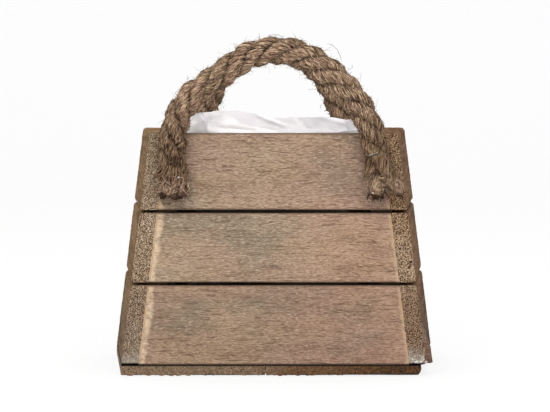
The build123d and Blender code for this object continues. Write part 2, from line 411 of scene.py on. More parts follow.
def wood_material(name, tint, wear=None, sheen=0.25):
    """Bare weathered wood: its two kinds of grain, and one more layer of its own, of wear and painted shade.
    """
    material, tree, shader = new_material(name)
    place = attribute(tree, "grain_place", "Vector")
    along = add_node(tree, "ShaderNodeGroup", {"Place": place}, node_tree=face_grain).outputs
    across = add_node(tree, "ShaderNodeGroup", {"Place": place}, node_tree=end_grain).outputs
    cut = attribute(tree, "end_grain")
    color = mixed(tree, cut, along["Color"], across["Color"])
    color = mixed(tree, 1.0, color, linear(*tint), "MULTIPLY")
    color = wear(tree, place, color) if wear else color
    height = worked(tree, "MULTIPLY_ADD", cut, across["Height"], along["Height"])
    normal = bumped(tree, height, 0.55, 0.00035)
    set_inputs(tree, shader, {"Base Color": color, "Roughness": along["Roughness"], "Normal": normal})
    shader.inputs["Specular IOR Level"].default_value = sheen
    return material


def base_stain_and_seam_shade(tree, place, color):
    """Damp dark stain, heaviest at the right front end of the base, and painted shade along the joint above
    it.
    """
    right, _, up = numbers_of(tree, object_place(tree))
    patchy = cloudy(tree, place, 60, 3.0)
    smeared = cloudy(tree, place, (500, 900, 1500), 3.0, 0.75, shift=4.1)
    moss = cloudy(tree, place, 260, 3.0, shift=2.2)
    brown = layered(tree, linear(74, 54, 40), (smeared, 0.38, 0.62, 1.0, (138, 114, 90)))
    damp = layered(tree, linear(24, 9, 2), (smeared, 0.42, 0.62, 1.0, (106, 70, 30)))
    along = worked(tree, "MULTIPLY_ADD", patchy, 0.06, right)
    return layered(
        tree, mixed(tree, 0.55, color, brown),
        (along, 0.012, 0.045, 0.8, (196, 166, 118), "MULTIPLY"),
        (along, 0.035, 0.105, 0.95, damp),
        (moss, 0.5, 0.7, 0.35, (68, 50, 30)),
        # Painted shade along the base's top front edge, under the bottom boards
        (up, base_top - 0.0009, base_top - 0.0002, 1.0, painted_seam_shade),
    )


base_wood = wood_material("sawn_base_wood", (190, 183, 170), base_stain_and_seam_shade)
base_nails = loose_boxes("base_nails")

for number, side in enumerate(("left", "right")):
    node = f"base_board_{side}"
    board = copy_of_node(node, f"base_{side}")
    cut_across(board, base_cut_spacing)
    roughen(board, board_wave_size, base_wave_depth)
    roughen(board, joint_wave_size, joint_wave_depth, group_ends(board, "joint", 0, (1 - number,)))
    roughen(board, saw_tear_size, saw_tear_depth, group_ends(board, "ends", 1))
    tear_lower_edge(board)
    cut_nail_holes(board, node, base_nails, Vector((0, 0, -1)))
    mark_grain(board, LONG_WAYS, 0.4 + 0.3 * number)
    finish_board(board, node, base_wood)

# Corner posts
# Four square sticks of the same softwood inside the corners, hidden by the film, to which the
# three rows of slats are nailed.

post_cut_spacing = (0.006, 0.006, 0.012)

post_wood = wood_material("post_wood", (200, 194, 183))
for number, corner in enumerate(("front_left", "front_right", "back_left", "back_right")):
    node = f"corner_post_{corner}"
    post = copy_of_node(node, f"post_{corner}")
    cut_across(post, post_cut_spacing)
    mark_grain(post, UPWARDS, 1.1 + 0.3 * number)
    finish_board(post, node, post_wood)

# Slats
# Three rows of four boards, planed on their faces and left bare. The side boards cover the ends
# of the front and back ones, which were sanded pale along their slope. Brads hold them.

cross_cut_spacing = (0.0034, 0.0034, 0.0026)
side_cut_spacing = (0.0011, 0.0030, 0.0009)
slat_wave_depth = 0.00045
slat_tear_size = 0.0014
slat_tear_depth = 0.0007
right_coarseness = 1.25
split_depth = 0.014
split_height = 0.028
split_reach = 0.0040
split_lift = 0.0013
split_lift_height = 0.006
side_lean = 0.1249
side_spread = 0.0827
half_depth = 0.055
slat_thickness = 0.010
side_slope = math.sqrt(1 + side_lean**2 + side_spread**2)
tier_names = ("bottom", "middle", "top")
side_directions = {
    "front": Vector((0, -1, 0)),
    "back": Vector((0, 1, 0)),
    "left": Vector((-1, -side_spread, side_lean)).normalized(),
    "right": Vector((1, -side_spread, side_lean)).normalized(),
}


def side_x(y, z, inset):
    """How far out a side's face lies at a depth and height, moved in square to the face by inset."""
    return base_front_half + side_spread * (y + half_depth) - side_lean * (z - base_top) - inset * side_slope


def mark_end_and_edge_distances(board, node):
    """How far each place is from the sloping end cut and from the board's long edges."""
    low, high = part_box(node)
    places = [vertex.co for vertex in board.data.vertices]
    carry(board, "from_end", [side_x(place.y, place.z, slat_thickness) - abs(place.x) for place in places])
    carry(board, "from_edge", [min(place.z - low.z, high.z - place.z) for place in places])


def split_corner(board):
    """The right bottom board's front corner, split and spread outwards above the base."""
    front = span(board, 1)[0]
    for vertex in board.data.vertices:
        place = vertex.co
        outer = place.x - side_x(place.y, place.z, slat_thickness / 2)
        if outer > 0:
            above = place.z - base_top
            near = max(0.0, 1 - (place.y - front) / split_depth) * max(0.0, 1 - above / split_height)
            raised = max(0.0, 1 - above / split_lift_height) * min(1.0, 2 * near)
            place.x += split_reach * min(1.0, 1.7 * near) * min(1.0, outer / (slat_thickness / 2))
            place.z += split_lift * raised * min(1.0, outer / (slat_thickness / 4))


def mark_split(board):
    """The split corner's sliver shows its weathered outer face, not its end grain."""
    cut = board.data.attributes["end_grain"]
    for face in board.data.polygons:
        if face.center.x > side_x(face.center.y, face.center.z, 0.0):
            cut.data[face.index].value = 0.0


def slat_wear_and_shade(tree, place, color):
    """A pale sanded strip along each sloping end, and the long edges darkened with painted shade along the
    gaps between boards.
    """
    right, _, up = numbers_of(tree, object_place(tree))
    from_end = attribute(tree, "from_end")
    not_cut = worked(tree, "SUBTRACT", 1.0, attribute(tree, "end_grain"))
    ragged = cloudy(tree, place, (110, 150, 150), 4.0, 0.6)
    blotched = cloudy(tree, place, 320, 3.0, 0.6, shift=7.3)
    wide = between(tree, right, -0.03, 0.03, 0.0078, 0.0022)
    inside = worked(tree, "SUBTRACT", product(tree, ragged, wide), from_end)
    strip = between(tree, inside, -0.0014, 0.0014, 0.0, 0.85)
    patches = between(tree, blotched, 0.35, 0.6, 0.35, 1.0)
    strip = product(tree, strip, patches, between(tree, up, 0.106, 0.098, 0.55, 1.0), not_cut)
    rim = product(tree, between(tree, from_end, 0.0016, 0.0009), between(tree, blotched, 0.4, 0.6), 0.6)
    # edge: painted shade darkening each long edge, where the gaps between the boards fall dark
    edge = worked(tree, "MULTIPLY_ADD", ragged, -0.0014, attribute(tree, "from_edge"))
    color = layered(
        tree, color,
        (up, 0.056, 0.053, 1.0, (244, 240, 239), "MULTIPLY"),
        (right, -0.01, 0.05, 0.8, (255, 246, 248), "MULTIPLY"),
    )
    color = mixed(tree, strip, color, linear(198, 175, 146))
    color = mixed(tree, rim, color, linear(150, 109, 65))
    return layered(
        tree, color,
        # Painted shade along the lower edge of the bottom boards, just over the base
        (up, base_top + 0.0012, base_top + 0.0007, 1.0, painted_seam_shade),
        (edge, 0.0006, -0.0004, 0.65, (90, 70, 54)),
    )


def side_wear_and_shade(tree, place, color):
    """Outer faces darker, partly from weathering and partly as painted shade of faces turned from the light,
    and the right side's end grain browner towards the rim.
    """
    where = object_place(tree)
    right, _, up = numbers_of(tree, where)
    right = between(tree, right, 0.0, 0.03)
    cut = attribute(tree, "end_grain")
    not_cut = worked(tree, "SUBTRACT", 1.0, cut)
    patchy = cloudy(tree, place, 40, 3.0)
    streaks = cloudy(tree, where, (60, 18, 320), 3.0, 0.65, shift=3.7)
    rubbed = cloudy(tree, where, 420, 3.0, 0.6, shift=1.1)
    high, chalky, under = [worked(tree, "MULTIPLY_ADD", patchy, reach, up) for reach in (0.05, 0.03, 0.001)]
    low = product(tree, between(tree, up, 0.060, 0.045), cut)
    # The first tone darkens every outer face: partly weathering, partly painted shade of faces turned from
    # the light
    for mask, tone in (
        (not_cut, (241, 241, 232)),
        (product(tree, between(tree, streaks, 0.42, 0.62), not_cut), (222, 214, 208)),
        (product(tree, between(tree, high, 0.06, 0.14, 0.12, 0.55), right, cut), (222, 196, 166)),
        (product(tree, right, not_cut), (234, 229, 238)),
        (product(tree, between(tree, up, 0.06, 0.02), not_cut), (234, 240, 254)),
        (low, (230, 228, 230)),
        (product(tree, low, right), (240, 232, 226)),
    ):
        color = mixed(tree, mask, color, linear(*tone), "MULTIPLY")
    chalky = product(tree, between(tree, chalky, 0.036, 0.018, 0.0, 0.45), cut)
    color = mixed(tree, chalky, color, linear(172, 167, 156))
    chipped = between(tree, up, 0.0135, 0.0095)
    chipped = product(tree, chipped, right, between(tree, rubbed, 0.48, 0.58, 0.0, 0.8), cut)
    color = mixed(tree, chipped, color, linear(216, 210, 202))
    # Painted shade along the seam just above the base
    return layered(tree, color, (under, base_top + 0.0026, base_top + 0.0012, 1.0, painted_seam_shade))


slat_wood = wood_material("planed_slat_wood", (218, 218, 218), slat_wear_and_shade)
# The side boards' tint, a little darker than the front boards', is partly weathering and partly painted
# shade
side_wood = wood_material("side_slat_wood", (214, 210, 205), side_wear_and_shade, sheen=0.0)
for side_number, (side, outward) in enumerate(side_directions.items()):
    nails = loose_boxes(f"{side}_nails")
    crosswise = side in ("front", "back")
    coarseness = right_coarseness if side == "right" else 1.0
    for tier_number, tier in enumerate(tier_names):
        node = f"{side}_slat_{tier}"
        offset = 0.37 * side_number + 0.23 * tier_number
        board = copy_of_node(node, f"{side}_board_{tier}")
        cut_across(board, cross_cut_spacing if crosswise else side_cut_spacing)
        roughen(board, board_wave_size, slat_wave_depth)
        if not crosswise:
            roughen(board, slat_tear_size, slat_tear_depth, group_ends(board, "ends", 1))
        cut_nail_holes(board, node, nails, outward)
        if node == "right_slat_bottom":
            split_corner(board)
        mark_grain(board, SIDEWAYS if crosswise else LONG_WAYS, offset, coarseness)
        mark_end_and_edge_distances(board, node)
        if node == "right_slat_bottom":
            mark_split(board)
        finish_board(board, node, slat_wood if crosswise else side_wood)

# Film liner
# A pouch of thin white plastic film that keeps soil off the boards. It is pushed in loosely,
# crumpled, pinned with small staples, and its edge is left standing unevenly above the rim.

film_thickness = 0.0003
film_inset = 0.0007
film_floor = 0.0070
film_corner = 0.024
film_half_depth = half_depth - slat_thickness
film_column_width = 0.0017
film_row_height = 0.0034
film_top_rows = 14
film_top_band = 0.004
film_floor_rings = 9
film_crumple = 0.0033
film_facets = ((28, (3.1, 0, 0), 1.25), (62, (0, 7.7, 0), 0.65), (150, (0, 0, 0), 0.22))
film_ragged = ((90, 0.0006), (400, 0.0003))
film_lean = 0.3
film_lean_scale = 24
film_clearance = 0.0004
film_crease_width = 0.0018
film_staple_hold = 0.009
film_sharp_angle = math.radians(24)
film_least_gap = 0.0002
film_floor_rise = 0.001
film_floor_crumple = 0.5
film_unshaded_band = 0.001
film_outer_slope = 0.1
film_level_slope = 0.5
rim_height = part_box("front_slat_top")[1].z
film_band_start = rim_height - film_top_band
film_wall_rows = round((film_band_start - film_floor) / film_row_height)
film_pins = [(low + high) / 2 for low, high in loose_boxes("liner_staples")]

# How far the film stands above the rim, from left to right, along the front, back and sides
film_front_edge = [(-0.060, 0.0050), (-0.050, 0.0070), (-0.040, 0.0072), (-0.030, 0.0056), (-0.0158, 0.0037),
                   (0.0105, 0.0004), (0.030, 0.0003), (0.060, 0.0012)]
film_back_edge = [(-0.070, 0.0100), (-0.048, 0.0098), (-0.036, 0.0112), (-0.026, 0.0110), (-0.015, 0.0092),
                  (0.001, 0.0066), (0.018, 0.0068), (0.035, 0.0070), (0.050, 0.0052), (0.070, 0.0060)]
film_left_edge = [(-0.045, 0.0055), (-0.010, 0.0088), (0.020, 0.0070), (0.045, 0.0100)]
film_right_edge = [(-0.045, 0.0016), (0.0, 0.0040), (0.045, 0.0058)]

# Folds pressed into the film: on its back or front, the fold's two ends from the rim, and its height
film_creases = [
    (1, (-0.0508, 0.0105), (-0.0455, 0.0030), 0.0011), (1, (-0.0455, 0.0030), (-0.0385, 0.0055), -0.0008),
    (1, (-0.0385, 0.0055), (-0.0420, 0.0120), 0.0010), (1, (-0.0300, 0.0110), (-0.0200, 0.0020), -0.0009),
    (1, (-0.0100, 0.0080), (0.0060, 0.0015), 0.0010), (1, (0.0150, 0.0070), (0.0210, 0.0000), -0.0010),
    (1, (0.0300, 0.0070), (0.0450, 0.0030), 0.0006), (-1, (-0.0580, 0.0030), (-0.0480, 0.0075), 0.0009),
    (-1, (-0.0440, 0.0075), (-0.0380, 0.0000), -0.0009), (-1, (-0.0330, 0.0030), (-0.0120, 0.0010), 0.0007),
]


def along_edge(edge, place):
    """The height of a film edge at a place between its listed points."""
    for (a, height_a), (b, height_b) in zip(edge, edge[1:]):
        if place <= b:
            share = max(0.0, (place - a) / (b - a))
            return height_a + (height_b - height_a) * share * share * (3 - 2 * share)
    return edge[-1][1]


def film_corners(z):
    """The eight corners of the film's outline at one height: a box with its corners cut off."""
    y, inset = film_half_depth - film_inset, slat_thickness + film_inset
    right = [
        (side_x(-y, z, inset) - film_corner, -y),
        (side_x(film_corner - y, z, inset), film_corner - y),
        (side_x(y - film_corner, z, inset), y - film_corner),
        (side_x(y, z, inset) - film_corner, y),
    ]
    return [Vector((x, y, z)) for x, y in right + [(-x, y) for x, y in reversed(right)]]


def film_rise(place):
    """How far the film stands above the rim at a place on its edge."""
    side = side_x(place.y, rim_height, slat_thickness)
    sides = (
        (place.y + film_half_depth, film_front_edge, place.x),
        (film_half_depth - place.y, film_back_edge, place.x),
        (side + place.x, film_left_edge, place.y),
        (side - place.x, film_right_edge, place.y),
    )
    weights = [1 / max(gap, film_least_gap) ** 2 for gap, _, _ in sides]
    heights = [along_edge(edge, where) for _, edge, where in sides]
    ragged = sum(height * noise.noise(place * scale) for scale, height in film_ragged)
    return sum(w * h for w, h in zip(weights, heights)) / sum(weights) + ragged


def film_fold(place):
    """How far the film is crumpled in from the boards: flat facets that meet in sharp folds."""
    folded = 0.0
    for scale, shift, share in film_facets:
        folded += film_crumple * share * abs(noise.noise(place * scale + Vector(shift)))
    for crossed, (x1, z1), (x2, z2), height in film_creases:
        if crossed * place.y > 0:
            start, end = Vector((x1, z1 + rim_height)), Vector((x2, z2 + rim_height))
            here = Vector((place.x, place.z))
            along = held((here - start).dot(end - start) / (end - start).length_squared)
            away = (here - start.lerp(end, along)).length
            folded += height * max(0.0, 1 - away / film_crease_width)
    return folded


def film_place(start, end, step):
    """One place of the film's wall, a share of the way between two corners of its outline."""
    place = start.lerp(end, step)
    away = Vector((-place.x, -place.y, 0)).normalized()
    facing = Vector((end.y - start.y, start.x - end.x, 0)).normalized()
    inwards = facing if facing.dot(away) > 0 else -facing
    hold = min([1.0] + [((place - pin).length / film_staple_hold) ** 2 for pin in film_pins])
    sag = film_fold(place) * hold
    if place.z > rim_height:
        lean = (place.z - rim_height) * film_lean * noise.noise(place * film_lean_scale)
        sag = max(sag + lean, film_clearance)
    return place + inwards * sag


def film_ring(row):
    """One ring of the film's wall: below the rim at one height, and above it a share of its rise."""
    outline = film_corners(rim_height)
    ring = []
    for side in range(8):
        start, end = outline[side], outline[(side + 1) % 8]
        columns = round((end - start).length / film_column_width)
        for step in range(columns):
            height = film_floor + (film_band_start - film_floor) * row / film_wall_rows
            if row > film_wall_rows:
                top = rim_height + film_rise(start.lerp(end, step / columns))
                height = film_band_start + (top - film_band_start) * (row - film_wall_rows) / film_top_rows
            corners = film_corners(height)
            ring.append(film_place(corners[side], corners[(side + 1) % 8], step / columns))
    return ring


def mesh_object(name, places, faces):
    mesh = bpy.data.meshes.new(name)
    mesh.from_pydata(places, [], faces)
    obj = bpy.data.objects.new(name, mesh)
    bpy.context.collection.objects.link(obj)
    return obj


rings = []
floor_outline = film_ring(0)
for i in range(film_floor_rings):
    share = (i + 1) / (film_floor_rings + 1)
    middle = [Vector((place.x * share, place.y * share, film_floor)) for place in floor_outline]
    rings.append([place + Vector((0, 0, film_floor_crumple * film_fold(place))) for place in middle])
rings += [film_ring(row) for row in range(film_wall_rows + film_top_rows + 1)]
around = len(rings[0])
places = [Vector((0, 0, film_floor + film_floor_rise))] + [place for ring in rings for place in ring]
faces = [(0, 1 + (i + 1) % around, 1 + i) for i in range(around)]
for row in range(len(rings) - 1):
    for i in range(around):
        a, b = 1 + row * around + i, 1 + row * around + (i + 1) % around
        faces.append((a, b, b + around, a + around))
film = mesh_object("film_liner", places, faces)
edit_all(film, (bpy.ops.mesh.normals_make_consistent, {"inside": False}))
apply_modifier(film, "SOLIDIFY", thickness=film_thickness, offset=0)
bpy.ops.object.shade_smooth_by_angle(angle=film_sharp_angle)
# The film's outer faces below the rim are marked for a dark brown painted shade, the shadow behind the
# boards
painted_back_shade = []
for face in film.data.polygons:
    out_from_middle = Vector((face.center.x, face.center.y, 0)).normalized()
    upright = face.normal.dot(out_from_middle) > film_outer_slope and face.normal.z < film_level_slope
    outer = upright or face.normal.z < -film_level_slope
    painted_back_shade.append(float(outer and face.center.z < rim_height - film_unshaded_band))
carry(film, "painted_back_shade", painted_back_shade, domain="FACE")

film_finish, tree, shader = new_material("white_film")
place = object_place(tree)
milky = cloudy(tree, place, 45, 3.0)
streaks = cloudy(tree, place, (70, 70, 260), 3.0, shift=3.3)
color = layered(
    tree, linear(244, 242, 241),
    (milky, 0.35, 0.65, 1.0, (237, 234, 236)),
    (streaks, 0.5, 0.75, 0.35, (240, 226, 232)),
)
# Dark brown painted shade on the film's outer faces below the rim
color = mixed(tree, attribute(tree, "painted_back_shade"), color, linear(66, 44, 31))
normal = bumped(tree, cloudy(tree, place, 420, 3.0, 0.6, shift=1.9), 0.35, 0.0004)
roughness = between(tree, streaks, 0.3, 0.7, 0.28, 0.45)
set_inputs(tree, shader, {"Base Color": color, "Roughness": roughness, "Normal": normal})
film.data.materials.append(film_finish)
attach(film, "root")
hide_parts("plastic_liner")

# Rope handles
# One length of thick three-strand jute rope for each handle. Each is laid left-handed, cut and
# frayed at both ends, and stapled through its legs.

rope_diameter = 0.016
rope_gap = 0.0003
rope_line = -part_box("front_slat_top")[0].y + rope_gap + rope_diameter / 2
rope_line_steps = 20
strand_radius = 0.0047
strand_offset = 0.0034
strand_lay = 0.040
offset_unevenness = 0.07
offset_scale = 60
size_unevenness = 0.06
size_scale = 80
strands = 3
yarn_lay = 0.046
yarns = 20
yarn_steps = 3
yarn_groove = 0.00036
yarn_sharpness = 1.3
yarn_unevenness = 0.00055
yarn_scale = 45
rope_lumps = 0.00075
lump_scale = 420
lay_wander = 0.25
wander_scale = 35
splay_length = 0.012
splay_reach = 0.0030
splay_thinning = 0.35
tip_length = 0.014
tip_reach = 0.03
taper_rings = 6
taper_share = 0.9
unlaid_length = 0.025
unlaid_turn = 0.85
unlaid_open_share = 0.7
unlaid_opening = 1.4
unlaid_splay = 0.0008
unlaid_shifts = (-0.0036, 0.0054, -0.0020)
unlaid_flare = 0.15
unlaid_stubs = (50, 16, 60)
unlaid_reach = (0.10, 0.40)
cut_reach = (0.10, 0.42)
pinch_along = 0.0032
pinch_across = 0.0046
pinch_depth = 0.0012
board_clearance = 0.0002
glint_size = 0.0011
glint_inwards = 0.0025
stubs_in_strand = 38
stub_start = 17
stub_depth = (0.5, 1.05)
stub_drift = (-0.16, 0.16)
stub_flare = (0.3, 1.0)
stub_curl = (0.3, 1.3)
stub_length = 0.0135
stub_radius = 0.00055
stub_thinning = 0.6
stub_lumps = 0.4
stub_lump_scale = 600
stub_steps = 5
stub_sides = 6
loose_reach = 0.0112
loose_frames = 60
hair_steps = 4
hair_bend = 0.5
fuzz_count = 7800
fuzz_thickness = 0.00017
fuzz_depth = 0.96
short_hairs = (0.0012, 0.0038)
long_hairs = (0.004, 0.009)
short_share = 0.93
fray_count = 300
fray_frames = 14
fray_thickness = 0.00016
frayed_hairs = (0.0025, 0.006)
stray_distance = 0.004
stray_thickness = 0.000272
stray_shade = 0.25
laid_count = 4400
laid_thickness = 0.00028
laid_steps = 8
laid_slant = 0.010
laid_depth = (-0.00022, 0.00012)
laid_bow = 0.00045
cover_count = 34
cover_steps = 7
cover_length = 0.0034
cover_half_width = 0.0038
cover_shown = 0.0021
cover_height = 0.0007
cover_unevenness = 0.00015
bleached_place = (0.0622, -0.0755, 0.1160)

# Each rope's route: sideways from the middle, in from the line against the slat, up from the rim
front_rope_route = [
    (-0.0604, 0.0, -0.0390), (-0.0600, 0.0, -0.0215), (-0.0606, 0.0, -0.0070),
    (-0.0590, 0.0001, 0.0055), (-0.0542, 0.0004, 0.0162), (-0.0460, 0.0008, 0.0252),
    (-0.0315, 0.0015, 0.0350), (-0.0140, 0.0023, 0.0480), (0.0040, 0.0026, 0.0507),
    (0.0200, 0.0024, 0.0463), (0.0340, 0.0017, 0.0364), (0.0460, 0.0010, 0.0242),
    (0.0544, 0.0005, 0.0116), (0.0593, 0.0001, -0.0029), (0.0630, 0.0, -0.0199),
    (0.0668, 0.0, -0.0379),
]
back_rope_route = [
    (-0.0464, 0.0, -0.0380), (-0.0454, 0.0, -0.0200), (-0.0452, 0.0, -0.0035),
    (-0.0438, 0.0002, 0.0090), (-0.0408, 0.0006, 0.0210), (-0.0345, 0.0010, 0.0325),
    (-0.0232, 0.0015, 0.0425), (-0.0080, 0.0020, 0.0482), (0.0095, 0.0021, 0.0482),
    (0.0235, 0.0016, 0.0418), (0.0329, 0.0011, 0.0316), (0.0389, 0.0007, 0.0210),
    (0.0432, 0.0003, 0.0085), (0.0450, 0.0, -0.0035), (0.0456, 0.0, -0.0200),
    (0.0470, 0.0, -0.0380),
]


def line_through(route, facing):
    """Points along the smooth line that a rope's route controls, from its left end to its right."""
    curve = bpy.data.curves.new("rope_line", "CURVE")
    curve.dimensions = "3D"
    spline = curve.splines.new("NURBS")
    spline.points.add(len(route) - 1)
    for point, (x, inward, up) in zip(spline.points, route):
        point.co = (x, facing * (rope_line - inward), rim_height + up, 1)
    spline.order_u = 3
    spline.use_endpoint_u = True
    spline.resolution_u = rope_line_steps
    holder = bpy.data.objects.new("rope_line", curve)
    bpy.context.collection.objects.link(holder)
    bpy.context.view_layer.update()
    line = bpy.data.meshes.new_from_object(holder)
    points = [vertex.co.copy() for vertex in line.vertices]
    bpy.data.objects.remove(holder)
    bpy.data.meshes.remove(line)
    bpy.data.curves.remove(curve)
    return points


def ahead_at(points, i):
    """The way that a line runs at one of its points."""
    return (points[min(i + 1, len(points) - 1)] - points[max(i - 1, 0)]).normalized()


def frames_along(points, facing):
    """At each point: its place, the way out from the basket, the way across, and the length so far."""
    frames, travelled = [], 0.0
    for i, place in enumerate(points):
        travelled += (place - points[i - 1]).length if i else 0.0
        ahead = ahead_at(points, i)
        outward = Vector((0, facing, 0))
        outward = (outward - ahead * outward.dot(ahead)).normalized()
        frames.append((place, outward, ahead.cross(outward), travelled))
    return frames


class Course:
    """How one rope runs: its line, the staples over it, the way it faces, and how its lay starts."""

    def __init__(self, side, facing, route, start, seed):
        self.facing, self.start, self.seed = facing, start, seed
        self.points = line_through(route, facing)
        self.frames = frames_along(self.points, facing)
        self.last = len(self.frames) - 1
        self.length = self.frames[-1][3]
        self.crowns = []
        for low, high in loose_boxes(f"{side}_rope_staples"):
            face = facing * max(facing * low.y, facing * high.y)
            self.crowns.append(Vector(((low.x + high.x) / 2, face, (low.z + high.z) / 2)))

    def step_from(self, end, steps):
        """The number of the frame so many steps in from one of the rope's ends."""
        return steps if end == 0 else end - steps

    def unlaid(self, end):
        """Whether an end is the untwisted one, on the right as seen from the rope's own side."""
        return self.facing * self.frames[end][0].x < 0


def pinched(place, crowns, facing, along=pinch_along, across=pinch_across):
    """A place on the rope, pressed in under the crown of a staple."""
    for crown in crowns:
        near = math.exp(-(((place.z - crown.z) / along) ** 2) - ((place.x - crown.x) / across) ** 2)
        above = facing * (place.y - crown.y) + pinch_depth
        if above > 0:
            place = place - Vector((0, facing * above * near, 0))
    return place


def uneven(*numbers):
    return noise.noise(Vector(numbers))


def strand_place(course, step, strand, turn):
    """A place on a strand's surface, where turn runs round the strand and follows its yarns."""
    middle, outward, across, travelled = course.frames[step]
    seed = course.seed
    from_tip = min(travelled, course.length - travelled)
    unlaid = max(0.0, unlaid_length - from_tip) if middle.y < 0 < middle.x else 0.0
    loose = max(0.0, 1 - from_tip / splay_length)
    opened_length = unlaid_open_share * unlaid_length
    laid = travelled - unlaid_turn * unlaid
    angle = course.start + math.tau * strand / strands - math.tau * laid / strand_lay
    angle += lay_wander * uneven(travelled * wander_scale, seed, 0.0)
    varied = uneven(travelled * offset_scale, seed + 9.0, strand * 5.0)
    offset = strand_offset * (1 + offset_unevenness * varied)
    offset += (unlaid_splay if unlaid else splay_reach) * loose * loose
    center = middle + offset * (math.cos(angle) * outward + math.sin(angle) * across)
    center.x += unlaid_shifts[strand] * min(1.0, unlaid / opened_length) ** unlaid_opening
    around_yarns = math.tau * turn + math.tau * travelled / yarn_lay
    out = math.cos(around_yarns) * outward + math.sin(around_yarns) * across
    varied = uneven(travelled * size_scale, seed + 20.0, strand * 3.0)
    size = strand_radius * (1 + size_unevenness * varied)
    size -= yarn_groove * (1 - abs(math.sin(math.pi * yarns * turn))) ** yarn_sharpness
    yarn = math.floor(turn * yarns)
    size += yarn_unevenness * uneven(yarn * 7.3 + seed, travelled * yarn_scale, strand * 11.0)
    size += rope_lumps * noise.noise((center + out * size) * lump_scale)
    size *= 1 - splay_thinning * loose
    return center, out, size


def ring_round(place, ahead, side, size, count):
    """Evenly spaced places round a line, at one distance from it."""
    over = ahead.cross(side)
    turns = [math.tau * j / count for j in range(count)]
    return [place + size * (math.cos(turn) * side + math.sin(turn) * over) for turn in turns]


def add_tube(places, faces, rings, tips):
    """A closed tube through rings of places, from a tip before the first to one after the last."""
    first, around = len(places), len(rings[0])
    for ring in rings:
        places += ring
    places += tips
    last = first + (len(rings) - 1) * around
    for row in range(first, last, around):
        for j in range(around):
            a, b = row + j, row + (j + 1) % around
            faces.append((a, b, b + around, a + around))
    faces += [(first + (j + 1) % around, first + j, len(places) - 2) for j in range(around)]
    faces += [(last + j, last + (j + 1) % around, len(places) - 1) for j in range(around)]


def add_yarns(places, faces, corners, rings, lengths, radius):
    """A closed tube of spun yarns, with its yarn coordinates for each face's corners."""
    around = len(rings[0])
    add_tube(places, faces, rings, [sum(ring, Vector()) / around for ring in (rings[0], rings[-1])])
    turns = [math.tau * radius * j / around for j in range(around + 1)]
    for start, end in zip(lengths, lengths[1:]):
        for u, v in zip(turns, turns[1:]):
            corners += [(u, start), (v, start), (v, end), (u, end)]
    for length in (lengths[0], lengths[-1]):
        for u in turns[:-1]:
            corners += [(u, length)] * 3


def any_way(rng):
    return Vector([rng.uniform(-1, 1) for _ in range(3)])


def within_reach(place, course, end):
    """A place on a loose yarn, held no further from the rope's middle than loose yarns spread."""
    middles = [course.frames[course.step_from(end, i)][0] for i in range(0, loose_frames, 3)]
    nearest = min(middles, key=lambda middle: (place - middle).length)
    away = place - nearest
    return nearest + away * min(1.0, loose_reach / away.length)


def stub_rings(rng, course, end, strand, turn, glints):
    """One yarn's loose end: it leaves its strand under the last staple, bellies out, curls and thins."""
    stations = range(stub_start, rng.randrange(1, 11), -2)
    depth, drift = rng.uniform(*stub_depth), rng.uniform(*stub_drift)
    flare = rng.uniform(*stub_flare) * splay_reach * (unlaid_flare if course.unlaid(end) else 1.0)
    path = []
    for i in stations:
        share = (stub_start - i) / stub_start
        center, out, size = strand_place(course, course.step_from(end, i), strand, turn + drift * share)
        spread = flare * math.sin(math.pi * min(1.0, 0.9 * share))
        path.append(within_reach(center + out * (size * depth + spread), course, end))
    heading = (path[-1] - path[-2]).normalized()
    outward = (path[-1] - course.frames[end][0]).normalized()
    reach = rng.uniform(*(unlaid_reach if course.unlaid(end) else cut_reach)) * stub_length
    curl = any_way(rng).normalized() * rng.uniform(*stub_curl)
    for _ in range(stub_steps):
        heading = (heading + 0.2 * outward + 0.55 * curl + 0.4 * any_way(rng)).normalized()
        path.append(within_reach(path[-1] + heading * reach / 3, course, end))
    rings, lengths, travelled = [], [], 0.0
    for i, place in enumerate(path):
        ahead = ahead_at(path, i)
        side = ahead.cross(Vector((0.3, 0.8, 0.5))).normalized()
        travelled += (place - path[i - 1]).length if i else 0.0
        thin = 1 - stub_thinning * max(0.0, i - len(path) + 4) / 3
        size = stub_radius * thin * (1 + stub_lumps * noise.noise(place * stub_lump_scale))
        ring = ring_round(place, ahead, side, size, stub_sides)
        rings.append([pinched(spot, glints, course.facing, glint_size, glint_size) for spot in ring])
        lengths.append(travelled + 0.01 * strand + 0.003 * turn)
    return rings, lengths


def off_the_board(places, facing):
    """Places by a rope's legs, kept in front of the board that the legs are stapled to."""
    board_face = rope_line - rope_diameter / 2 - rope_gap + board_clearance
    for place in places:
        if place.z < rim_height + 0.001 and facing * place.y < board_face:
            place.y = facing * board_face


